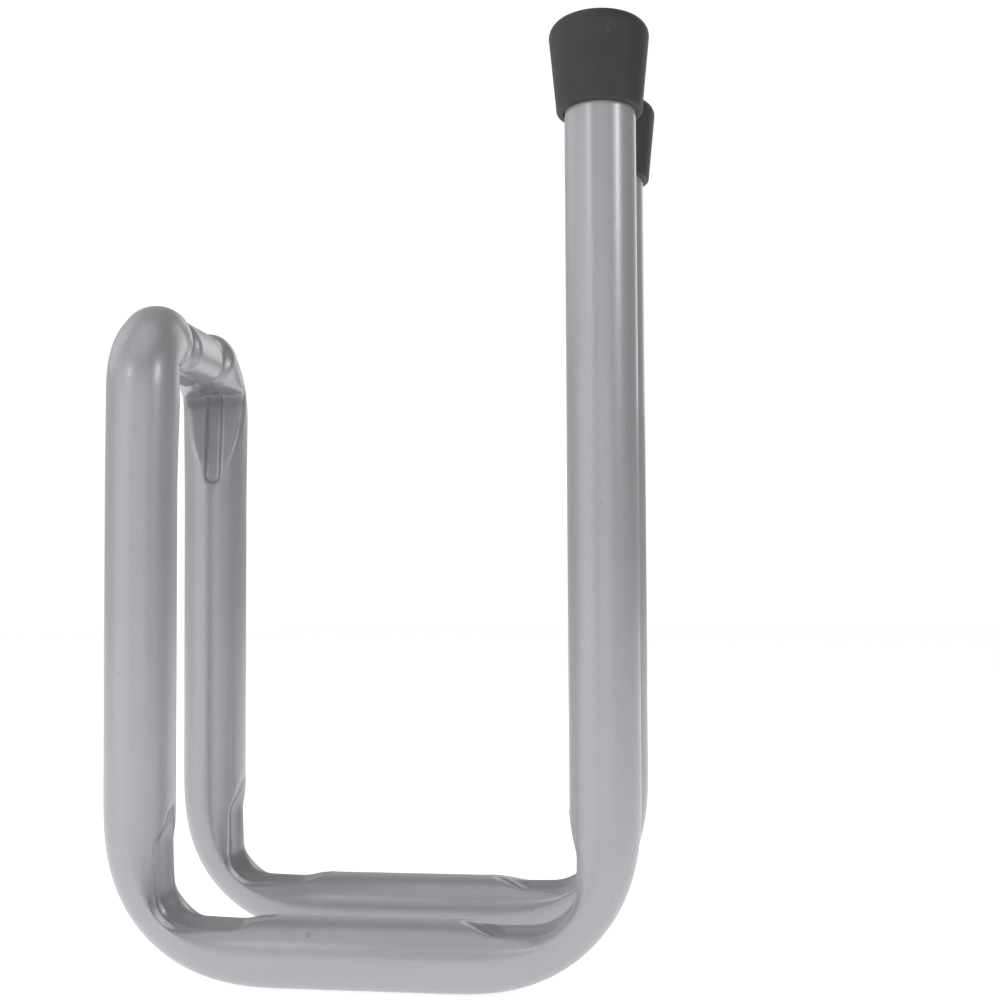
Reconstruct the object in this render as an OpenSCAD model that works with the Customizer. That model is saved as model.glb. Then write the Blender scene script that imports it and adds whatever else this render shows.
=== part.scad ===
// Garage utility hook: one steel tube pressed into a double J, with a rubber cap on each free end.
// The long legs stand against the wall, and the load hangs between them and the short front legs.
// Millimetres, +Z up, front towards -Y. The origin is under the middle of the hook, level with its
// lowest point.

/* [Tube] */
// Outside diameter of the tube
tube_od = 19; // [17:0.5:21]
// Wall thickness of the tube
tube_wall = 1.2; // [0.8:0.1:1.6]

/* [Frame] */
// Distance between the two sides, centre line to centre line
side_spacing = 56; // [48:1:90]
// Distance from the front legs to the back legs, centre line to centre line
hook_depth = 126; // [104:1:180]
// Height of the cross run over the bottom runs, centre line to centre line
front_height = 168; // [120:1:240]
// Height of the tube ends over the centre line of the bottom runs
back_height = 241; // [160:1:320]

/* [Bends] */
// Distance from the corner of the centre lines to the start of a back bottom bend
back_reach = 43; // [39:0.5:50]
// Distance from the corner of the centre lines to the start of a front bottom bend
front_reach = 42; // [39:0.5:50]
// Share of a bottom bend over which it tightens, and again over which it eases off
bottom_ease = 0.32; // [0:0.02:0.44]
// Length of the middle of the cross run, between its two bends
saddle_length = 17; // [8:0.5:24]
// Share of a top bend over which it tightens, and again over which it eases off
top_ease = 0.2; // [0:0.02:0.44]

/* [Press marks] */
// Distance from the corner of the centre lines to the tip of a press mark
mark_reach = 38; // [34:0.5:39]
// Length over which a mark of a bottom bend narrows to its tip
mark_fade = 12; // [6:0.5:20]
// How sharply a mark of a top bend narrows close to its bend
funnel = 3; // [1:0.5:5]
// Distance between the two lips of a mark, close to a bend
lip_spacing = 12.6; // [8:0.1:14]
// Distance between the two lips at the rounded tip of a mark
lip_tip_spacing = 5; // [3:0.1:8]
// Rounding of the lips
lip_round = 1.4; // [0.6:0.1:3]
// Depth of the dish under the lips, close to a bend
dish_depth = 3; // [1:0.1:4]
// Depth of the narrow channel along the middle of the dish
channel_depth = 0.9; // [0:0.1:1.4]
// Width of that channel
channel_width = 2.8; // [2:0.1:4]
// Inner radius of a back bottom bend, along its lips
back_corner_r = 13; // [8:0.5:18]
// Inner radius of a front bottom bend, along its lips
front_corner_r = 9; // [3:0.5:18]
// Inner radius of a top bend, along its lips
top_corner_r = 3.5; // [2:0.5:12]
// Least thickness that the press leaves between the lips and the outer side
pressed_thickness = 9.5; // [9:0.1:14]

/* [Bulges] */
// How far each side of the tube swells in the middle of a bend
side_swell = 0.6; // [0:0.1:1.5]
// How far the outer side sinks in the middle of a bend
outer_sink = 0.5; // [0:0.1:1.5]
// How far the tube draws in beside the middle of the cross run
neck_depth = 1; // [0:0.1:1.5]
// Length of that neck
neck_length = 8.6; // [4:0.2:12]

/* [End caps] */
// Height of a cap
cap_height = 24.4; // [18:0.2:40]
// Diameter of a cap at its top
cap_top_od = 26.4; // [25:0.1:34]
// Diameter of a cap at its rim
cap_rim_od = 22.6; // [22.4:0.1:30]
// Rounding of a cap's top edge
cap_top_round = 3.5; // [1:0.1:6]
// Rounding of a cap's rim
cap_rim_round = 0.8; // [0.2:0.1:1]
// Rise of a cap's top in its middle
cap_dome = 0.8; // [0.2:0.1:2]
// Thickness of a cap over the tube's end
cap_floor = 4; // [3:0.1:8]
// Gap all round between the tube and a cap's socket
cap_clearance = 0.05; // [0.02:0.01:0.2]

/* [Hidden] */
steel = "silver";
rubber = "#42403d";

tube_r = tube_od / 2;
bore_r = tube_r - tube_wall;
cap_socket_r = tube_r + cap_clearance;
cap_top_r = cap_top_od / 2;
cap_rim_r = cap_rim_od / 2;

side_x = side_spacing / 2;
back_y = (hook_depth + tube_r + side_swell - cap_top_r) / 2;
front_y = back_y - hook_depth;
run_z = tube_r;
cross_z = run_z + front_height;
tube_end_z = run_z + back_height;
cap_rim_z = tube_end_z + cap_floor - cap_height;
top_reach = (side_spacing - saddle_length) / 2;

// Corners of the centre line, from the tube's right end round to its left one
corners = [
    [side_x, back_y, tube_end_z], [side_x, back_y, run_z],
    [side_x, front_y, run_z], [side_x, front_y, cross_z],
    [-side_x, front_y, cross_z], [-side_x, front_y, run_z],
    [-side_x, back_y, run_z], [-side_x, back_y, tube_end_z]
];

// One row for each bend: reach, ease, inner radius, how sharply its marks narrow, and the quarter
// turns from the first bend's inner side to its own, seen along the tube
REACH = 0;
EASE = 1;
CORNER_R = 2;
FUNNEL = 3;
TURN = 4;
back_bend = [back_reach, bottom_ease, back_corner_r, 0, 0];
front_bend = [front_reach, bottom_ease, front_corner_r, 0, 0];
top_bend = [top_reach, top_ease, top_corner_r, funnel, 1];
bends = [back_bend, front_bend, top_bend, top_bend, front_bend, back_bend];
LAST = len(bends);
FIRST_TOP = 3;

// The outer skin has more sides and rings than the bore, and both have a multiple of four sides
skin_sides = 40;
bore_sides = 20;
skin_steps = 12;
bore_steps = 6;
curve_parts = 24;
$fn = 96;

function unit(v) = v / norm(v);
function smooth(t) = let (c = min(max(t, 0), 1)) c * c * (3 - 2 * c);
function soft_min(a, b, k) = let (h = max(k - abs(a - b), 0)) min(a, b) - (k > 0 ? h * h / (4 * k) : 0);
function running_sum(list) = [
    for (i = 0, s = list[0]; i < len(list); i = i + 1, s = i < len(list) ? s + list[i] : s) s
];

// A bend of length 1 that tightens, holds and eases off: [heading, run, rise] at each ring
function bend_curve(ease, steps) =
    let (
        n = steps * curve_parts,
        bite = [for (i = [0:n]) min(1, (min(i, n - i) + 0.001) / max(n * ease, 0.001))],
        turned = running_sum([for (i = [0:n]) i == 0 ? 0 : bite[i] + bite[i - 1]]),
        heading = [for (t = turned) 90 * t / turned[n]],
        run = running_sum([for (i = [0:n]) i == 0 ? 0 : (cos(heading[i]) + cos(heading[i - 1])) / 2 / n]),
        rise = running_sum([for (i = [0:n]) i == 0 ? 0 : (sin(heading[i]) + sin(heading[i - 1])) / 2 / n])
    )
    [for (i = [0:curve_parts:n]) [heading[i], run[i], rise[i]]];

// A station is [heading, distance before the corner, distance after it], measured along the legs
function bend_stations(row, steps) =
    let (curve = bend_curve(row[EASE], steps), size = row[REACH] / curve[steps][1])
    [for (c = curve) [c[0], row[REACH] - c[1] * size, c[2] * size]];

// Places on a leg that need a ring, counted away from the bend: up to the middle of the cross run
// or to the end of the press mark, and at the tube's end
function leg_places(row, leg, is_end, is_cross, steps) =
    let (
        parts = steps / 2,
        last = is_cross ? leg / 2 : mark_reach,
        marks = last > row[REACH] ? [for (i = [1:parts]) row[REACH] + (last - row[REACH]) * (i - 0.1) / parts] : []
    )
    concat(marks, is_end ? [leg] : []);

function reversed(list) = [for (i = [len(list) - 1:-1:0]) list[i]];

function stations(i, steps) =
    let (
        row = bends[i - 1],
        leg_in = norm(corners[i] - corners[i - 1]),
        leg_out = norm(corners[i + 1] - corners[i]),
        before = leg_places(row, leg_in, i == 1, i == FIRST_TOP + 1, steps),
        after = leg_places(row, leg_out, i == LAST, i == FIRST_TOP, steps)
    )
    concat(
        [for (t = reversed(before)) [0, t, 0]],
        bend_stations(row, steps),
        [for (t = after) [90, 0, t]]
    );

// How far the lips lie from the centre line at a station, where each leg has a flat that is
// wall away from its centre line, and the two flats meet in an arc of radius corner_r
function lip_distance(station, wall, corner_r) =
    let (
        to_before = sin(station[0]),
        to_after = cos(station[0]),
        u = station[1],
        v = station[2],
        flat = max(
            to_after > 0.001 ? (wall - v) / to_after : -1000,
            to_before > 0.001 ? (wall - u) / to_before : -1000
        ),
        centre = wall + corner_r,
        along = (u - centre) * to_before + (v - centre) * to_after,
        inside = along * along - pow(u - centre, 2) - pow(v - centre, 2) + corner_r * corner_r,
        arc = -along - sqrt(max(inside, 0)),
        on_arc = inside > 0 && u + to_before * arc < centre && v + to_after * arc < centre
    )
    on_arc ? arc : flat;

// Half the distance between the lips, which narrow to a rounded tip
function lip_offset(row, away) =
    let (
        left = mark_reach - away,
        close = row[FUNNEL] > 0 ? pow(min(1, max(0, left / (mark_reach - tube_r))), row[FUNNEL]) : smooth(left / mark_fade)
    )
    (lip_tip_spacing + (lip_spacing - lip_tip_spacing) * close) / 2 * sqrt(min(1, max(0, left / 2)));

// Shape of the section at a station: [lip distance, lip offset, dish, channel, swell, sink, neck]
function press(i, station, r) =
    let (
        row = bends[i - 1],
        away = max(station[1], station[2]),
        middle = sin(2 * station[0]),
        offset = lip_offset(row, away),
        wall = sqrt(tube_r * tube_r - offset * offset),
        least = pressed_thickness - tube_r,
        lips = min(wall, max(least, lip_distance(station, wall, row[CORNER_R]))),
        share = 2 * offset / lip_spacing,
        towards_cross = (i == FIRST_TOP && station[0] > 45) || (i == FIRST_TOP + 1 && station[0] < 45),
        into_neck = (row[REACH] - away) / neck_length,
        neck = towards_cross && into_neck > 0 && into_neck < 1 ? neck_depth * sin(180 * into_neck) : 0
    )
    [
        lips, offset, dish_depth * share * share, channel_depth * share,
        side_swell * middle - neck, outer_sink * middle + neck, tube_r - r
    ];

// A point of the section, at an angle from the bend's inner side, as [inwards, sideways]
function section_point(angle, r, shape) =
    let (
        lips = shape[0],
        offset = shape[1],
        half_width = r + shape[4],
        across = half_width * sin(angle),
        squash = lips / sqrt(tube_r * tube_r - offset * offset),
        round = r * squash * cos(angle),
        dish = lips - shape[6] - shape[2] * (1 - pow(across / max(offset, 0.1), 2)),
        channel = shape[3] * exp(-pow(across / (channel_width / 2), 2)),
        pressed = offset > 0.1 ? soft_min(round, dish, lip_round * shape[3] / channel_depth) - channel : round
    )
    [cos(angle) > 0 ? pressed : (r - shape[5] * pow(cos(angle), 2)) * cos(angle), across];

// All rings round bend i, of which each starts at the same line along the tube
function bend_rings(i, r, sides, steps) =
    let (
        corner = corners[i],
        along_in = unit(corner - corners[i - 1]),
        along_out = unit(corners[i + 1] - corner),
        sideways = cross(along_in, along_out),
        turn = 90 * bends[i - 1][TURN]
    )
    [
        for (s = stations(i, steps))
            let (
                place = corner - along_in * s[1] + along_out * s[2],
                inwards = along_out * cos(s[0]) - along_in * sin(s[0]),
                shape = press(i, s, r)
            )
            [
                for (k = [0:sides - 1])
                    let (p = section_point((360 * k / sides - turn + 540) % 360 - 180, r, shape))
                    place + inwards * p[0] + sideways * p[1]
            ]
    ];

function all_rings(r, sides, steps) = [for (i = [1:LAST]) each bend_rings(i, r, sides, steps)];

// Faces between neighbouring rings. first is the number of the first point.
function ring_faces(count, sides, first, outwards) = [
    for (j = [0:count - 2], k = [0:sides - 1])
        let (
            a = first + j * sides + k,
            b = first + j * sides + (k + 1) % sides
        )
        outwards ? [a, a + sides, b + sides, b] : [a, b, b + sides, a + sides]
];

// Faces of the rim between a ring of the skin and one of the bore, which has half as many sides
function rim_faces(skin_first, bore_first, at_end) = [
    for (k = [0:bore_sides - 1])
        let (
            inner = bore_first + k,
            inner_next = bore_first + (k + 1) % bore_sides,
            outer = skin_first + 2 * k,
            outer_middle = outer + 1,
            outer_next = skin_first + (2 * k + 2) % skin_sides
        )
        each at_end
            ? [[inner, outer_middle, outer], [inner, inner_next, outer_middle], [inner_next, outer_next, outer_middle]]
            : [[inner, outer, outer_middle], [inner, outer_middle, inner_next], [inner_next, outer_middle, outer_next]]
];

module hook_tube() {
    skin = all_rings(tube_r, skin_sides, skin_steps);
    bore = all_rings(bore_r, bore_sides, bore_steps);
    bore_first = len(skin) * skin_sides;
    color(steel)
        polyhedron(
            points = [for (ring = skin) each ring, for (ring = bore) each ring],
            faces = concat(
                ring_faces(len(skin), skin_sides, 0, true),
                ring_faces(len(bore), bore_sides, bore_first, false),
                rim_faces(0, bore_first, false),
                rim_faces(bore_first - skin_sides, bore_first + (len(bore) - 1) * bore_sides, true)
            ),
            convexity = 8
        );
}

function arc(centre, r, from, to, parts = 8) = [
    for (i = [0:parts])
        let (angle = from + (to - from) * i / parts)
        centre + r * [cos(angle), sin(angle)]
];

// Half outline of a cap, with its rim at height 0
module cap_outline() {
    shoulder_r = cap_top_r - cap_top_round;
    shoulder_z = cap_height - cap_dome - cap_top_round;
    dome_r = (shoulder_r * shoulder_r + cap_dome * cap_dome) / (2 * cap_dome);
    dome_angle = asin(shoulder_r / dome_r);
    difference() {
        polygon(concat(
            [[0, 0]],
            arc([cap_rim_r - cap_rim_round, cap_rim_round], cap_rim_round, -90, 0, 5),
            arc([shoulder_r, shoulder_z], cap_top_round, 0, 90),
            arc([0, cap_height - dome_r], dome_r, 90 - dome_angle, 90)
        ));
        translate([-1, -1])
            square([cap_socket_r + 1, cap_height - cap_floor + 1]);
    }
}

module end_cap(x) {
    color(rubber)
        translate([x, back_y, cap_rim_z])
            rotate_extrude()
                cap_outline();
}

module end_cap_left() end_cap(-side_x);

module end_cap_right() end_cap(side_x);

hook_tube();
end_cap_left();
end_cap_right();
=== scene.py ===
"""Garage utility hook: the smooth painted tube, its two rubber caps, and the studio around them."""
import math
from collections import namedtuple
from itertools import accumulate

import bmesh
import bpy
from mathutils import Matrix, Vector


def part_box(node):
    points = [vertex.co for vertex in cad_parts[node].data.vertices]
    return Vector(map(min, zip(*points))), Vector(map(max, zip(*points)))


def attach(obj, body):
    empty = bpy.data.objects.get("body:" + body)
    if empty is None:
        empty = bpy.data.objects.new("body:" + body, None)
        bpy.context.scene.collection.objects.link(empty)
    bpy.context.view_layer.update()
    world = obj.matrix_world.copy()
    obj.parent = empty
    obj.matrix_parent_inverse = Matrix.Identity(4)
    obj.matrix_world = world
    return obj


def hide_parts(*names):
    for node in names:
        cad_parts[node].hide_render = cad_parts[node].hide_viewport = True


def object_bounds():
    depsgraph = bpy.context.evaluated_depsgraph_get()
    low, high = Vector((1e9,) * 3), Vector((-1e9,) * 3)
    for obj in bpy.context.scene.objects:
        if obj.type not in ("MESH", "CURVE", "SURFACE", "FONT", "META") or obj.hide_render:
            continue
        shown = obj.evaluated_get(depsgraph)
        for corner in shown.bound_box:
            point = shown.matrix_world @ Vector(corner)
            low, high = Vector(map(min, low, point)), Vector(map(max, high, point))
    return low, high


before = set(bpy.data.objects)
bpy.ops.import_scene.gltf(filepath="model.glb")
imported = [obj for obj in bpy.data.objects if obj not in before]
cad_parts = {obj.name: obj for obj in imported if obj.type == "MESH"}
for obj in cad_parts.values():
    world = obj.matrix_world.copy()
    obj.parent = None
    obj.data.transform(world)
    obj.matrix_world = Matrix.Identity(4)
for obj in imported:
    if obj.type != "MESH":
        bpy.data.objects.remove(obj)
CAD_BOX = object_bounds()

bl_info = {
    "name": "Garage utility hook",
    "version": (1, 0, 0),
    "blender": (4, 5, 0),
    "location": "3D view > Sidebar > Hook",
    "description": "A pressed tube hook in satin silver paint, with rubber end caps and a soft studio",
    "category": "Object",
}

MM = 0.001
BODY = "root"
TUBE = "hook_tube"
CAPS = ("end_cap_left", "end_cap_right")


def deselect_all():
    """Leaves nothing selected, so that the next operator acts on new work only."""
    if bpy.context.object and bpy.context.object.mode != "OBJECT":
        bpy.ops.object.mode_set(mode="OBJECT")
    bpy.ops.object.select_all(action="DESELECT")


def make_active(piece):
    """Selects one object alone and makes it active."""
    deselect_all()
    piece.select_set(True)
    bpy.context.view_layer.objects.active = piece


def new_material(name):
    """A material with an empty Principled tree, as (material, nodes, links, shader)."""
    material = bpy.data.materials.new(name)
    material.use_nodes = True
    nodes = material.node_tree.nodes
    links = material.node_tree.links
    nodes.clear()
    shader = nodes.new("ShaderNodeBsdfPrincipled")
    output = nodes.new("ShaderNodeOutputMaterial")
    links.new(shader.outputs["BSDF"], output.inputs["Surface"])
    return material, nodes, links, shader


def noise(nodes, links, place, size, detail):
    """A noise pattern whose lumps are about size metres across."""
    texture = nodes.new("ShaderNodeTexNoise")
    texture.inputs["Scale"].default_value = 1 / size
    texture.inputs["Detail"].default_value = detail
    links.new(place, texture.inputs["Vector"])
    return texture.outputs["Fac"]


def remapped(nodes, links, value, start, end):
    """A smooth change from end's first value, below start's first, to its second, above start's second."""
    remap = nodes.new("ShaderNodeMapRange")
    remap.interpolation_type = "SMOOTHSTEP"
    remap.inputs["From Min"].default_value = start[0]
    remap.inputs["From Max"].default_value = start[1]
    remap.inputs["To Min"].default_value = end[0]
    remap.inputs["To Max"].default_value = end[1]
    links.new(value, remap.inputs["Value"])
    return remap.outputs["Result"]


def mixed(nodes, links, share, low, high):
    """Colour between low and high, each a colour or a socket, by share."""
    mix = nodes.new("ShaderNodeMix")
    mix.data_type = "RGBA"
    links.new(share, mix.inputs["Factor"])
    for name, colour in (("A", low), ("B", high)):
        sockets = [s for s in mix.inputs if s.name == name and s.type == "RGBA"]
        if isinstance(colour, bpy.types.NodeSocket):
            links.new(colour, sockets[0])
        else:
            sockets[0].default_value = (*colour, 1)
    return [s for s in mix.outputs if s.type == "RGBA"][0]


def bumped(nodes, links, height, depth, under=None):
    """A bump of depth metres, on top of another bump's normal where one is given."""
    bump = nodes.new("ShaderNodeBump")
    bump.inputs["Strength"].default_value = 1
    bump.inputs["Distance"].default_value = depth
    links.new(height, bump.inputs["Height"])
    if under is not None:
        links.new(under, bump.inputs["Normal"])
    return bump.outputs["Normal"]


def scaled(colour, factor):
    """A colour made lighter or darker by factor."""
    return [c * factor for c in colour]


# Where each pattern of the paint sets in and is full, as values of its noise
FLAKE_EDGES = (0.3, 0.7)
CLOUD_EDGES = (0.35, 0.65)
SPECK_EDGES = (0.79, 0.83)
# How dark a patch and a speck are beside the paint, how much a speck covers, how far the roughness varies
CLOUD_SHADE = 0.55
SPECK_SHADE = 0.4
SPECK_COVER = 0.4
PAINT_SHINE = 0.03


def silver_paint(look):
    """Satin silver paint over steel: fine flakes, a faint orange peel and a few specks in the coat."""
    material, nodes, links, shader = new_material("satin_silver_paint")
    place = nodes.new("ShaderNodeTexCoord").outputs["Object"]
    flakes = noise(nodes, links, place, look.flake_size, detail=2)
    clouds = noise(nodes, links, place, look.cloud_size, detail=3)
    peel = noise(nodes, links, place, look.peel_size, detail=2)
    specks = noise(nodes, links, place, look.speck_size, detail=1)

    base = tuple(look.paint)
    dark_flake = scaled(base, 1 - look.flake_contrast)
    light_flake = scaled(base, 1 + look.flake_contrast)
    flaked = mixed(nodes, links, flakes, dark_flake, light_flake)
    cloudy = remapped(nodes, links, clouds, CLOUD_EDGES, (0, look.cloud_contrast))
    toned = mixed(nodes, links, cloudy, flaked, scaled(base, CLOUD_SHADE))
    specked = remapped(nodes, links, specks, SPECK_EDGES, (0, SPECK_COVER))
    links.new(mixed(nodes, links, specked, toned, scaled(base, SPECK_SHADE)), shader.inputs["Base Color"])

    shine = (look.roughness - PAINT_SHINE, look.roughness + PAINT_SHINE)
    links.new(remapped(nodes, links, flakes, FLAKE_EDGES, shine), shader.inputs["Roughness"])
    grain = bumped(nodes, links, flakes, look.flake_depth)
    links.new(bumped(nodes, links, peel, look.peel_depth, grain), shader.inputs["Normal"])
    shader.inputs["Metallic"].default_value = look.metallic
    shader.inputs["Coat Weight"].default_value = look.gloss
    shader.inputs["Coat Roughness"].default_value = look.gloss_roughness
    return material


# The same for the rubber: grain, paler bloom and dust
GRAIN_EDGES = (0.3, 0.7)
BLOOM_EDGES = (0.35, 0.7)
DUST_EDGES = (0.72, 0.78)
BLOOM_SHADE = 1.6
DUST_SHADE = 3
DUST_COVER = 0.35
RUBBER_SHINE = 0.06
RUBBER_SPECULAR = 0.4


def cap_rubber(look):
    """Matte charcoal rubber: a fine moulded grain, faint bloom and a little dust."""
    material, nodes, links, shader = new_material("charcoal_rubber")
    place = nodes.new("ShaderNodeTexCoord").outputs["Object"]
    grain = noise(nodes, links, place, look.grain_size, detail=3)
    bloom = noise(nodes, links, place, look.bloom_size, detail=3)
    dust = noise(nodes, links, place, look.dust_size, detail=1)

    base = tuple(look.rubber)
    bloomed = remapped(nodes, links, bloom, BLOOM_EDGES, (0, look.bloom_contrast))
    toned = mixed(nodes, links, bloomed, base, scaled(base, BLOOM_SHADE))
    dusty = remapped(nodes, links, dust, DUST_EDGES, (0, DUST_COVER))
    links.new(mixed(nodes, links, dusty, toned, scaled(base, DUST_SHADE)), shader.inputs["Base Color"])

    shine = (look.roughness - RUBBER_SHINE, look.roughness + RUBBER_SHINE)
    links.new(remapped(nodes, links, grain, GRAIN_EDGES, shine), shader.inputs["Roughness"])
    links.new(bumped(nodes, links, grain, look.grain_depth), shader.inputs["Normal"])
    shader.inputs["Specular IOR Level"].default_value = RUBBER_SPECULAR
    return material


def length(name, description, millimetres):
    """A setting that is a length."""
    return bpy.props.FloatProperty(
        name=name, description=description, default=millimetres * MM, precision=5, unit="LENGTH")


def fraction(name, description, default):
    """A setting from 0 to 1."""
    return bpy.props.FloatProperty(name=name, description=description, default=default, min=0, max=1)


def brightness(name, description, default):
    """A setting that is a strength of light."""
    return bpy.props.FloatProperty(name=name, description=description, default=default, min=0)


def rotation(name, description, degrees):
    """A setting that is an angle."""
    return bpy.props.FloatProperty(
        name=name, description=description, default=math.radians(degrees), subtype="ANGLE")


def tint(name, description, default):
    """A setting that is a colour."""
    return bpy.props.FloatVectorProperty(
        name=name, description=description, default=default, size=3, min=0, max=1, subtype="COLOR")


class HookPress(bpy.types.PropertyGroup):
    """Sizes of the marks that the press leaves in the six bends."""
    mark_reach: length("Mark reach", "Distance from the corner of the centre lines to the tip of a mark", 38)
    mark_fade: length("Mark fade", "Length over which a mark of a bottom bend narrows to its tip", 12)
    lip_spacing: length("Lip spacing", "Distance between a mark's lips, close to a bottom bend", 12.6)
    tip_spacing: length("Tip spacing", "Distance between the lips at the rounded tip of a mark", 5)
    tip_length: length("Tip length", "Length over which the lips meet at the tip", 2)
    lip_round: length("Lip rounding", "Rounding of the lips of a bottom bend", 1.4)
    dish_depth: length("Dish depth", "Depth of the dish under the lips, close to a bottom bend", 3)
    pressed_thickness: length("Pressed thickness", "Least thickness that the press leaves", 9.5)
    groove_depth: length("Groove depth", "Depth of the groove along the mark of a bottom bend", 1)
    groove_width: length("Groove width", "Width of the groove of a bottom bend", 3)
    groove_edge: length("Groove edge", "Half the width of a groove wall's slope", 0.5)
    top_groove_depth: length("Top groove depth", "Depth of the groove of a top bend", 1.6)
    top_groove_width: length("Top groove width", "Width of the groove of a top bend", 4.4)
    top_groove_edge: length("Top groove edge", "Half the width of a wall's slope in a top bend", 0.85)
    fold_depth: length("Fold depth", "How deep a front leg is pressed in at its fold", 6.3)
    fold_reach: length("Fold reach", "Distance from the corner to where the pressed face runs out", 37)
    fold_curve: bpy.props.FloatProperty(
        name="Fold curve", description="How much that face curves in, 1 for a plane", default=1.25,
        min=1, max=2)
    fold_tuck: length("Fold tuck", "How much deeper the leg is pressed in right under the fold", 0.8)
    tuck_reach: length("Tuck reach", "Length over which that valley runs out", 3.2)
    fold_dish: length("Fold dish", "Depth of the dish between the two lips under a fold", 1)
    fold_round: length("Fold rounding", "Rounding of the fold", 0.5)
    fold_lip_round: length("Fold lip rounding", "Rounding of the two lips beside the fold", 4.4)
    saddle_flat: length("Saddle flat", "How deep the underside of the cross run is pressed in", 1.9)
    saddle_drop: length("Saddle drop", "How far the middle of the cross run lies under its bends", 2.4)
    side_swell: length("Side swell", "How far each side swells in the middle of a bottom bend", 0.6)
    top_swell: length("Top swell", "How far each side of a front leg swells at its fold", 0.35)
    outer_sink: length("Outer sink", "How far the outer side sinks in the middle of a bend", 0.5)
    neck_depth: length("Neck depth", "How far the tube draws in beside the middle of the cross run", 2)
    neck_length: length("Neck length", "Length of that neck", 7.8)
    neck_edge: length("Neck edge", "Length over which each end of the neck slopes", 2)
    collar: length("Collar", "How far the end of a top bend stands out beside its neck", 0.5)
    collar_width: length("Collar width", "Length over which that collar rises and falls", 3)
    left_turn: rotation("Left turn", "How far the left front leg's mark turns towards the wall", 14)
    right_turn: rotation("Right turn", "How far the right front leg's mark turns towards the wall", 0)
    run_turn: rotation("Run turn", "How far the flat under the cross run turns towards the wall", 5)
    right_lean: length("Right lean", "How far the top of the right front leg leans towards the wall", 0.5)


class HookPaint(bpy.types.PropertyGroup):
    """Colour and finish of the painted tube."""
    paint: tint("Paint", "Colour of the silver paint", (0.380, 0.385, 0.402))
    roughness: fraction("Roughness", "Roughness of the satin paint", 0.36)
    metallic: fraction("Metallic", "How metallic the paint looks", 0.55)
    gloss: fraction("Gloss", "Strength of the clear top of the paint", 0.25)
    gloss_roughness: fraction("Gloss roughness", "Roughness of the clear top", 0.16)
    flake_size: length("Flake size", "Size of the flakes in the paint", 0.35)
    flake_contrast: fraction("Flake contrast", "How much lighter and darker the flakes are", 0.16)
    flake_depth: length("Flake depth", "Height of the grain that the flakes give", 0.004)
    peel_size: length("Orange peel size", "Size of the waves of the sprayed coat", 1.6)
    peel_depth: length("Orange peel depth", "Height of those waves", 0.012)
    cloud_size: length("Cloud size", "Size of the uneven patches of the coat", 14)
    cloud_contrast: fraction("Cloud contrast", "How strongly those patches darken the coat", 0.06)
    speck_size: length("Speck size", "Size of the noise that places the few specks", 2.4)


class HookRubber(bpy.types.PropertyGroup):
    """Colour and grain of the end caps."""
    rubber: tint("Rubber", "Colour of the caps", (0.032, 0.029, 0.027))
    roughness: fraction("Roughness", "Roughness of the rubber", 0.56)
    grain_size: length("Grain size", "Size of the moulded grain", 0.3)
    grain_depth: length("Grain depth", "Height of the moulded grain", 0.01)
    bloom_size: length("Bloom size", "Size of the paler patches", 7)
    bloom_contrast: fraction("Bloom contrast", "How strongly those patches show", 0.25)
    dust_size: length("Dust size", "Size of the noise that places the dust", 2.2)


class HookStudio(bpy.types.PropertyGroup):
    """The floor and the light of the room."""
    floor_width: bpy.props.FloatProperty(
        name="Floor width", description="Side of the square floor", default=12, unit="LENGTH")
    floor_colour: tint("Floor", "Colour of the floor", (0.9, 0.9, 0.9))
    floor_glow: brightness("Floor glow", "Light that the pale floor gives off itself", 0.64)
    background: brightness("Background", "Brightness of the plain background", 1.05)
    fill_dark: brightness("Dark side", "Brightness of the room on the wall side", 0.3)
    fill_bright: brightness("Bright side", "Brightness of the room on the front side", 0.8)


# The tube's outer radius, the thickness of its steel, and the height of the cross run over the bottom runs
TUBE_RADIUS = 9.5 * MM
TUBE_WALL = 1.2 * MM
FRONT_HEIGHT = 168 * MM
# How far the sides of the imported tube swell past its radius, in its box
PACKED_SWELL = 0.6 * MM

# The bends: distance from the corner of the centre lines to the start, share over which a bend tightens and
# again eases off, inner radius along the lips of a bottom bend, and the rings of the skin
Bend = namedtuple("Bend", "reach ease corner_radius steps")
BACK_BEND = Bend(43 * MM, 0.32, 13 * MM, 56)
FRONT_BEND = Bend(42 * MM, 0.32, 9 * MM, 56)
TOP_BEND = Bend(19.5 * MM, 0.2, None, 44)
# The corners of the tube that each kind of bend rounds, counted from the tube's right end
BACK_CORNERS = (1, 6)
RIGHT_TOP = 3
LEFT_TOP = 4
ENDS = (1, 6)
# Parts into which each step of a bend is cut when its curve is added up
CURVE_PARTS = 12

# Sides round the skin and round the bore, and how many of the skin's rings come to one of the bore's
SKIN_SIDES = 112
BORE_SIDES = 28
BORE_THINNING = 4
# Rings of the skin along a top mark, over its tip and past its tip
MARK_RINGS = 30
TIP_RINGS = 10
SPREAD_RINGS = 8
# Where the rings lie between a top bend and the middle of the cross run, as shares of that way
CROSS_SHARES = (1 / 6, 3 / 6, 5 / 6)
# How much closer a ring's points lie inside a top bend, and the length of leg where they spread out again
CROWDING = 0.4
CROWDING_FADE = 15 * MM

# A number that counts as nothing, and the slope below which the tube counts as upright
TINY = 0.001
UPRIGHT = 0.02
# Least half distance between the lips of a bottom mark and of a top mark, and least squashed half thickness
LEAST_OFFSET = 0.1 * MM
LEAST_TOP_OFFSET = 1 * MM
LEAST_HALF = 1 * MM
# How far a front leg is pressed in where the dish under its fold has its full depth
FOLD_DISH_GROWTH = 3 * MM
# Passes that find the height at which the line through a station meets the pressed face
FOLD_PASSES = 10
# Edges that turn by less than this are shaded smooth
SMOOTH_ANGLE = math.radians(60)

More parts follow.
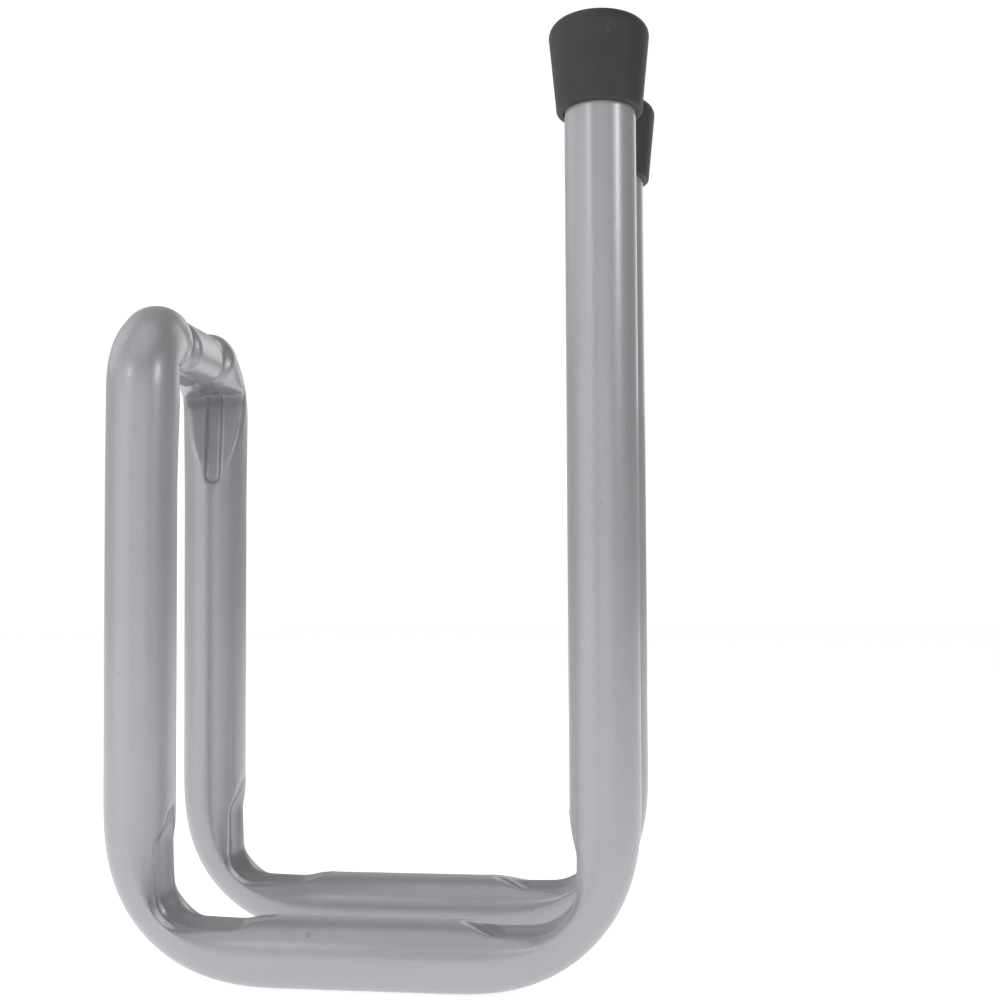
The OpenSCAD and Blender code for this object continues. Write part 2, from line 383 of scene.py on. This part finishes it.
# A place along a bend: how far the tube has turned, the distance before the corner and the distance after it
Station = namedtuple("Station", "heading before after")

# The tube's section at a station: distance of the lips from the centre line, half the distance between them,
# depth of the dish under them, their rounding, swell of each side, sink of the outer side, depth, width and
# edge of the groove, how far the station lies past the start of the groove's tip, how far the mark is turned,
# and the tube's shift to the wall
Section = namedtuple("Section", "lips offset dish rounding swell sink groove width edge past roll shift")


def eased(share):
    """0 below 0, 1 above 1, and a smooth rise between."""
    share = min(max(share, 0), 1)
    return share * share * (3 - 2 * share)


def soft_min(a, b, reach):
    """The smaller of two values, rounded off where they lie within reach of each other."""
    near = max(reach - abs(a - b), 0)
    return min(a, b) - near * near / (4 * reach)


def bend_curve(ease, steps):
    """A bend of length 1 that tightens, holds and eases off: heading, run and rise at each ring."""
    count = steps * CURVE_PARTS
    bite = [min(1, (min(i, count - i) + TINY) / max(count * ease, TINY)) for i in range(count + 1)]
    turned = list(accumulate([0] + [bite[i] + bite[i - 1] for i in range(1, count + 1)]))
    heading = [math.pi / 2 * turn / turned[-1] for turn in turned]
    pairs = list(zip(heading, heading[1:]))
    run = list(accumulate([0] + [(math.cos(a) + math.cos(b)) / 2 / count for a, b in pairs]))
    rise = list(accumulate([0] + [(math.sin(a) + math.sin(b)) / 2 / count for a, b in pairs]))
    return [(heading[i], run[i], rise[i]) for i in range(0, count + 1, CURVE_PARTS)]


def bend_stations(bend, steps):
    """The stations of a bend, from its start to its end."""
    curve = bend_curve(bend.ease, steps)
    size = bend.reach / curve[-1][1]
    return [Station(heading, bend.reach - run * size, rise * size) for heading, run, rise in curve]


def places(start, end, count):
    """Evenly spaced places after start, up to end."""
    return [start + (end - start) * i / count for i in range(1, count + 1)]


def lip_distance(station, wall, radius):
    """How far the lips of a bottom bend lie from the centre line: two flats that meet in an arc."""
    to_before, to_after = math.sin(station.heading), math.cos(station.heading)
    before, after = station.before, station.after
    flats = []
    if to_after > TINY:
        flats.append((wall - after) / to_after)
    if to_before > TINY:
        flats.append((wall - before) / to_before)
    centre = wall + radius
    along = (before - centre) * to_before + (after - centre) * to_after
    inside = along ** 2 - (before - centre) ** 2 - (after - centre) ** 2 + radius ** 2
    arc = -along - math.sqrt(max(inside, 0))
    on_arc = inside > 0 and before + to_before * arc < centre and after + to_after * arc < centre
    return arc if on_arc else max(flats)


def bottom_section(press, bend, station):
    """The section in a bottom bend, where two lips run along a dished mark."""
    middle = math.sin(2 * station.heading)
    left = press.mark_reach - max(station.before, station.after)
    spacing = press.tip_spacing + (press.lip_spacing - press.tip_spacing) * eased(left / press.mark_fade)
    offset = spacing / 2 * math.sqrt(min(1, max(0, left / press.tip_length)))
    wall = math.sqrt(TUBE_RADIUS ** 2 - offset ** 2)
    least = press.pressed_thickness - TUBE_RADIUS
    lips = min(wall, max(least, lip_distance(station, wall, bend.corner_radius)))
    opened = 2 * offset / press.lip_spacing
    return Section(
        lips=lips, offset=offset, dish=press.dish_depth * opened ** 2, rounding=press.lip_round,
        swell=press.side_swell * middle, sink=press.outer_sink * middle,
        groove=press.groove_depth * opened, width=press.groove_width, edge=press.groove_edge,
        past=0, roll=0, shift=0)


def sink_at(press, along):
    """How far a top bend's centre line sinks on its way to the middle of the cross run."""
    return press.saddle_drop * eased((along - TOP_BEND.reach + press.neck_length) / press.neck_length)


def pressed_depth(press, height, fold_height):
    """How deep a front leg is pressed in, at a height under the centre line of the cross run."""
    pressed = max(0, (press.fold_reach - height) / (press.fold_reach - fold_height))
    tuck = press.fold_tuck * eased(1 - (height - fold_height) / press.tuck_reach)
    return press.fold_depth * pressed ** press.fold_curve + tuck


def fold_distance(press, station):
    """How far the inner side of a top bend lies from its centre line: the pressed face of the leg curves in
    towards the fold, and the underside of the cross run is level."""
    under_run = TUBE_RADIUS - press.saddle_flat + press.saddle_drop
    down = station.before + sink_at(press, station.after)
    to_after, to_before = math.cos(station.heading), math.sin(station.heading)
    height = down
    for _ in range(FOLD_PASSES):
        face = (TUBE_RADIUS - pressed_depth(press, height, under_run) - station.after) / max(to_after, TINY)
        height = (height + min(down, max(under_run, down - face * to_before))) / 2
    if to_before < UPRIGHT:
        return face
    under = (under_run - down) / to_before
    return -soft_min(-face, -under, press.fold_round)


def top_section(press, station, leg_turn, leg_lean):
    """The section in a top bend, from the tip of its mark down the leg to the middle of the cross run."""
    middle = math.sin(2 * station.heading)
    lips = fold_distance(press, station)
    pressed_in = max(TUBE_RADIUS - lips, TINY * MM)
    into_neck = TOP_BEND.reach - station.after
    neck = press.neck_depth * eased(min(into_neck, press.neck_length - into_neck) / press.neck_edge)
    from_collar = abs(into_neck - press.neck_length - press.collar_width / 2)
    collar = press.collar * eased(1 - from_collar / press.collar_width)
    on_mark = eased(1 - (station.before - TUBE_RADIUS) / press.fold_reach)
    on_leg = 1 - station.heading / (math.pi / 2)
    upright = math.cos(station.heading)
    return Section(
        lips=lips,
        offset=math.sqrt(max(LEAST_TOP_OFFSET ** 2, TUBE_RADIUS ** 2 - lips ** 2)),
        dish=press.fold_dish * eased(pressed_in / FOLD_DISH_GROWTH) * upright,
        rounding=press.fold_lip_round if station.heading > 0 else min(press.fold_lip_round, pressed_in),
        swell=press.top_swell * on_mark * upright + collar - neck,
        sink=press.outer_sink * middle + neck - collar,
        groove=press.top_groove_depth, width=press.top_groove_width, edge=press.top_groove_edge,
        past=station.before - press.mark_reach + press.top_groove_width / 2,
        roll=press.run_turn + (leg_turn - press.run_turn) * on_leg,
        shift=leg_lean * on_mark * on_leg)


def groove_depth(across, section):
    """Depth of the groove at a distance across the mark, with a rounded tip."""
    distance = math.hypot(across, max(0, section.past))
    return section.groove * (1 - eased((distance - section.width / 2 + section.edge) / (2 * section.edge)))


def section_point(angle, radius, section):
    """A point of the section, at an angle from the mark's middle, as inwards and sideways."""
    turned = angle + section.roll
    across = (radius + section.swell) * math.sin(turned)
    inwards = math.cos(turned)
    if inwards > 0:
        offset = max(section.offset, LEAST_OFFSET)
        half = math.sqrt(max(LEAST_HALF ** 2, TUBE_RADIUS ** 2 - offset ** 2))
        squash = min(1, max(0, section.lips) / half)
        flat = section.lips - TUBE_RADIUS + radius - section.dish * (1 - (across / offset) ** 2)
        inner = soft_min(radius * squash * inwards, flat, section.rounding) - groove_depth(across, section)
    else:
        inner = (radius - section.sink * inwards ** 2) * inwards
    back = -section.roll
    cosine, sine = math.cos(back), math.sin(back)
    return inner * cosine - across * sine, inner * sine + across * cosine


def ring_angles(sides, start, crowding):
    """Angles round a ring from the inner side, closer together there by crowding."""
    angles = []
    for i in range(sides):
        even = (2 * math.pi * i / sides - start + 3 * math.pi) % (2 * math.pi) - math.pi
        angles.append(even - crowding * math.sin(even))
    return angles


def tube_corners():
    """Corners of the centre line, from the right end of the tube round to its left one."""
    low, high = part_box(TUBE)
    cap_low, cap_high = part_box(CAPS[1])
    side = high.x - TUBE_RADIUS - PACKED_SWELL
    back = (cap_low.y + cap_high.y) / 2
    front = low.y + TUBE_RADIUS + PACKED_SWELL
    run = low.z + TUBE_RADIUS
    right = [(side, back, high.z), (side, back, run), (side, front, run), (side, front, run + FRONT_HEIGHT)]
    left = [(-x, y, z) for x, y, z in reversed(right)]
    return [Vector(corner) for corner in right + left]


def top_bend(press, i, side, thin):
    """Stations and sections of a top bend: on the right from past the tip of its leg's mark to the middle of
    the cross run, and on the left the other way round."""
    tip = press.mark_reach - press.top_groove_width / 2
    past = press.mark_reach + press.top_groove_edge
    on_leg = places(TOP_BEND.reach, tip, MARK_RINGS // thin) + places(tip, past, TIP_RINGS // thin)
    on_leg += places(past, press.mark_reach + CROWDING_FADE, SPREAD_RINGS // thin)
    on_cross = [TOP_BEND.reach + (side - TOP_BEND.reach) * part for part in CROSS_SHARES]
    stations = [Station(0, before, 0) for before in reversed(on_leg)]
    stations += bend_stations(TOP_BEND, TOP_BEND.steps // thin)
    stations += [Station(math.pi / 2, 0, after) for after in on_cross]
    if i == RIGHT_TOP:
        return stations, [top_section(press, s, press.right_turn, press.right_lean) for s in stations]
    sections = [top_section(press, s, press.left_turn, 0) for s in reversed(stations)]
    return [Station(math.pi / 2 - s.heading, s.after, s.before) for s in reversed(stations)], sections


def bottom_bend(press, i, back_height, thin):
    """Stations and sections of a bottom bend, with the tube's end where its corner is next to one."""
    bend = BACK_BEND if i in BACK_CORNERS else FRONT_BEND
    stations = bend_stations(bend, bend.steps // thin)
    if i == ENDS[0]:
        stations.insert(0, Station(0, back_height, 0))
    if i == ENDS[1]:
        stations.append(Station(math.pi / 2, 0, back_height))
    return stations, [bottom_section(press, bend, station) for station in stations]


def bend_rings(press, corners, i, radius, sides, thin):
    """All rings round bend i of the tube. Each ring starts at the same line along the tube."""
    corner = corners[i]
    along_in = (corner - corners[i - 1]).normalized()
    along_out = (corners[i + 1] - corner).normalized()
    sideways = along_in.cross(along_out)
    is_top = i in (RIGHT_TOP, LEFT_TOP)
    if is_top:
        stations, sections = top_bend(press, i, corners[0].x, thin)
    else:
        stations, sections = bottom_bend(press, i, (corners[0] - corners[1]).length, thin)
    start = math.pi / 2 if is_top else 0
    rings = []
    for station, section in zip(stations, sections):
        down_leg, along_run = station.before, station.after
        if i == LEFT_TOP:
            down_leg, along_run = along_run, down_leg
        sunk = sink_at(press, along_run) if is_top else 0
        crowding = CROWDING * (1 - eased((down_leg - press.mark_reach) / CROWDING_FADE)) if is_top else 0
        place = corner - along_in * station.before + along_out * station.after
        place += Vector((0, section.shift, -sunk))
        inwards = along_out * math.cos(station.heading) - along_in * math.sin(station.heading)
        points = [section_point(turn, radius, section) for turn in ring_angles(sides, start, crowding)]
        rings.append([place + inwards * inner + sideways * across for inner, across in points])
    return rings


def tube_rings(press, radius, sides, thin):
    """All rings of the skin or the bore, from the right end of the tube to its left one."""
    corners = tube_corners()
    bends = range(1, len(corners) - 1)
    return [ring for i in bends for ring in bend_rings(press, corners, i, radius, sides, thin)]


def add_rings(mesh, rings):
    """Adds a tube through the rings, and returns its two end rings of vertices."""
    rows = [[mesh.verts.new(point) for point in ring] for ring in rings]
    for here, there in zip(rows, rows[1:]):
        for i, vertex in enumerate(here):
            mesh.faces.new((vertex, there[i], there[i - 1], here[i - 1]))
    return rows[0], rows[-1]


def close_end(mesh, outer, inner):
    """Joins the skin to the bore across one end of the tube, with one face for each side of the bore."""
    step = len(outer) // len(inner)
    for i, vertex in enumerate(inner):
        fan = [outer[k] for k in range((i - 1) * step, i * step + 1)]
        mesh.faces.new((inner[i - 1], *fan, vertex))


def pressed_tube(press):
    """The bent tube as one swept skin and bore, with the press's marks in all six bends."""
    mesh = bmesh.new()
    skin_ends = add_rings(mesh, tube_rings(press, TUBE_RADIUS, SKIN_SIDES, 1))
    bore_ends = add_rings(mesh, tube_rings(press, TUBE_RADIUS - TUBE_WALL, BORE_SIDES, BORE_THINNING))
    for outer, inner in zip(skin_ends, bore_ends):
        close_end(mesh, outer, inner)
    bmesh.ops.recalc_face_normals(mesh, faces=mesh.faces)
    piece = bpy.data.objects.new("bent_tube", bpy.data.meshes.new("bent_tube"))
    mesh.to_mesh(piece.data)
    mesh.free()
    bpy.context.scene.collection.objects.link(piece)
    make_active(piece)
    bpy.ops.object.shade_smooth_by_angle(angle=SMOOTH_ANGLE)
    return piece


class HOOK_OT_bent_tube(bpy.types.Operator):
    """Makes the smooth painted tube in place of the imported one"""
    bl_idname = "hook.bent_tube"
    bl_label = "Bent tube"

    def execute(self, context):
        piece = pressed_tube(context.scene.hook_press)
        piece.data.materials.append(silver_paint(context.scene.hook_paint))
        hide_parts(TUBE)
        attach(piece, BODY)
        return {"FINISHED"}


class HOOK_OT_end_caps(bpy.types.Operator):
    """Gives both end caps their rubber"""
    bl_idname = "hook.end_caps"
    bl_label = "End caps"

    def execute(self, context):
        material = cap_rubber(context.scene.hook_rubber)
        for name in CAPS:
            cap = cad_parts[name]
            cap.data.materials.clear()
            cap.data.materials.append(material)
        return {"FINISHED"}


# Where the camera stands, in metres from the point midway between the long legs, at the centre line of the
# bottom runs: to the right of the hook, towards the wall and up
CAMERA_PLACE = Vector((0.36253, 0.02184, 0.09194))
# Which way it looks: turned towards the front legs, tilted up and leaning
CAMERA_TURN = math.radians(-7.420)
CAMERA_TILT = math.radians(1.942)
CAMERA_LEAN = math.radians(-0.318)
# Its lens: focal length in pixels of the square picture, sensor width, shift, and range of sight in metres
PICTURE_SIDE = 1000
FOCAL_PIXELS = 1286.69
SENSOR_WIDTH = 36
CAMERA_SHIFT = (-0.02001, 0.06010)
CAMERA_RANGE = (0.01, 100)

# The soft boxes: name, degrees to the right of the camera, degrees up, distance, width, height and power
SOFT_BOXES = (
    ("key_box", 54, 24, 1.2, 0.2, 0.28, 1.5),
    ("front_box", 8, 8, 1.4, 1.0, 1.1, 2.0),
    ("left_box", -48, 8, 0.5, 0.5, 0.5, 0.37),
    ("mark_box", -35, 25, 1.2, 0.14, 0.14, 0.5),
    ("top_box", -20, 68, 1.1, 1.0, 1.0, 1.9),
    ("left_back_box", -105, 36, 1.2, 0.8, 0.8, 1.1),
    ("right_back_box", 152, 30, 1.2, 0.7, 0.9, 2.2),
)

# The floor's finish, and the size of the round background beside the floor's width
FLOOR_ROUGHNESS = 0.9
FLOOR_SPECULAR = 0.1
BACKGROUND_SHARE = 1 / 2.2
BACKGROUND_SEGMENTS = 48
BACKGROUND_RINGS = 24
# The bright side of the room, and where its light sets in and is full, as cosines from that side
BRIGHT_SIDE = Vector((-0.3, -1, -0.5)).normalized()
ROOM_FADE = (-0.9, 0.7)


def camera_axes():
    """Right, up and forward of the camera: it looks along -X, then turns, tilts and leans."""
    turn, tilt, lean = CAMERA_TURN, CAMERA_TILT, CAMERA_LEAN
    forward = Vector((-math.cos(turn) * math.cos(tilt), math.sin(turn) * math.cos(tilt), math.sin(tilt)))
    level = Vector((math.sin(turn), math.cos(turn), 0))
    above = level.cross(forward)
    right = math.cos(lean) * level + math.sin(lean) * above
    up = math.cos(lean) * above - math.sin(lean) * level
    return right, up, forward


def leg_foot():
    """The point midway between the long legs, at the centre line of the bottom runs."""
    low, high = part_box(CAPS[0])
    return Vector((0, (low.y + high.y) / 2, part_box(TUBE)[0].z + TUBE_RADIUS))


def add_camera():
    """The camera, at the photographed angle."""
    right, up, forward = camera_axes()
    bpy.ops.object.camera_add()
    camera = bpy.context.object
    camera.name = "camera"
    turned = Matrix((right, up, -forward)).transposed()
    camera.matrix_world = Matrix.Translation(leg_foot() + CAMERA_PLACE) @ turned.to_4x4()
    camera.data.sensor_width = SENSOR_WIDTH
    camera.data.lens = SENSOR_WIDTH * FOCAL_PIXELS / PICTURE_SIDE
    camera.data.shift_x, camera.data.shift_y = CAMERA_SHIFT
    camera.data.clip_start, camera.data.clip_end = CAMERA_RANGE
    bpy.context.scene.camera = camera


def add_soft_box(name, aside, height_angle, distance, width, height, power):
    """A rectangular area light that faces the middle of the hook."""
    low, high = CAD_BOX
    middle = (low + high) / 2
    turn = math.radians(aside) - CAMERA_TURN
    lift = math.radians(height_angle)
    away = Vector((math.cos(turn) * math.cos(lift), math.sin(turn) * math.cos(lift), math.sin(lift)))
    bpy.ops.object.light_add(type="AREA")
    light = bpy.context.object
    light.name = name
    light.data.shape = "RECTANGLE"
    light.data.size = width
    light.data.size_y = height
    light.data.energy = power
    light.location = middle + away * distance
    light.rotation_euler = away.to_track_quat("Z", "Y").to_euler()


def add_floor(studio):
    """The plain pale floor, level with the hook's lowest point."""
    deselect_all()
    bpy.ops.mesh.primitive_plane_add(size=studio.floor_width, location=(0, 0, CAD_BOX[0].z))
    floor = bpy.context.object
    floor.name = "floor"
    material, nodes, links, shader = new_material("pale_floor")
    shader.inputs["Base Color"].default_value = (*studio.floor_colour, 1)
    shader.inputs["Roughness"].default_value = FLOOR_ROUGHNESS
    shader.inputs["Specular IOR Level"].default_value = FLOOR_SPECULAR
    shader.inputs["Emission Color"].default_value = (1, 1, 1, 1)
    shader.inputs["Emission Strength"].default_value = studio.floor_glow
    floor.data.materials.append(material)


def add_background(studio):
    """A plain bright surround that only the camera sees; the light on the hook comes from the world."""
    deselect_all()
    bpy.ops.mesh.primitive_uv_sphere_add(
        segments=BACKGROUND_SEGMENTS, ring_count=BACKGROUND_RINGS,
        radius=studio.floor_width * BACKGROUND_SHARE)
    surround = bpy.context.object
    surround.name = "background"
    surround.visible_diffuse = False
    surround.visible_glossy = False
    surround.visible_transmission = False
    surround.visible_shadow = False
    material = bpy.data.materials.new("plain_background")
    material.use_nodes = True
    nodes = material.node_tree.nodes
    nodes.clear()
    glow = nodes.new("ShaderNodeEmission")
    glow.inputs["Strength"].default_value = studio.background
    output = nodes.new("ShaderNodeOutputMaterial")
    material.node_tree.links.new(glow.outputs["Emission"], output.inputs["Surface"])
    surround.data.materials.append(material)


def add_room(studio):
    """World light that fades from the front side of the room to the wall side."""
    world = bpy.data.worlds.new("room")
    bpy.context.scene.world = world
    world.use_nodes = True
    nodes = world.node_tree.nodes
    links = world.node_tree.links
    nodes.clear()
    place = nodes.new("ShaderNodeTexCoord").outputs["Generated"]
    facing = nodes.new("ShaderNodeVectorMath")
    facing.operation = "DOT_PRODUCT"
    facing.inputs[1].default_value = BRIGHT_SIDE
    links.new(place, facing.inputs[0])
    sky = nodes.new("ShaderNodeBackground")
    fill = (studio.fill_dark, studio.fill_bright)
    strength = remapped(nodes, links, facing.outputs["Value"], ROOM_FADE, fill)
    links.new(strength, sky.inputs["Strength"])
    output = nodes.new("ShaderNodeOutputWorld")
    links.new(sky.outputs["Background"], output.inputs["Surface"])


class HOOK_OT_studio(bpy.types.Operator):
    """Sets up the pale floor, the soft light and the camera"""
    bl_idname = "hook.studio"
    bl_label = "Studio"

    def execute(self, context):
        studio = context.scene.hook_studio
        add_floor(studio)
        add_background(studio)
        add_room(studio)
        for box in SOFT_BOXES:
            add_soft_box(*box)
        add_camera()
        context.scene.view_settings.view_transform = "Standard"
        return {"FINISHED"}


class HOOK_PT_sidebar(bpy.types.Panel):
    """Lists the hook's pieces and their settings"""
    bl_label = "Garage utility hook"
    bl_space_type = "VIEW_3D"
    bl_region_type = "UI"
    bl_category = "Hook"

    def draw(self, context):
        for group_names, operator in STEPS:
            box = self.layout.box()
            for group_name in group_names:
                group = getattr(context.scene, group_name)
                for setting in group.__annotations__:
                    box.prop(group, setting)
            box.operator(operator.bl_idname)


GROUPS = (
    ("hook_press", HookPress),
    ("hook_paint", HookPaint),
    ("hook_rubber", HookRubber),
    ("hook_studio", HookStudio),
)
# The operators in order, each with the groups of settings that it reads
STEPS = (
    (("hook_press", "hook_paint"), HOOK_OT_bent_tube),
    (("hook_rubber",), HOOK_OT_end_caps),
    (("hook_studio",), HOOK_OT_studio),
)
CLASSES = [group for _, group in GROUPS] + [operator for _, operator in STEPS] + [HOOK_PT_sidebar]


def register():
    for each in CLASSES:
        bpy.utils.register_class(each)
    for name, group in GROUPS:
        setattr(bpy.types.Scene, name, bpy.props.PointerProperty(type=group))


def unregister():
    for name, _ in GROUPS:
        delattr(bpy.types.Scene, name)
    for each in reversed(CLASSES):
        bpy.utils.unregister_class(each)


def main():
    register()
    bpy.ops.hook.bent_tube()
    bpy.ops.hook.end_caps()
    bpy.ops.hook.studio()


if __name__ == "__main__":
    main()
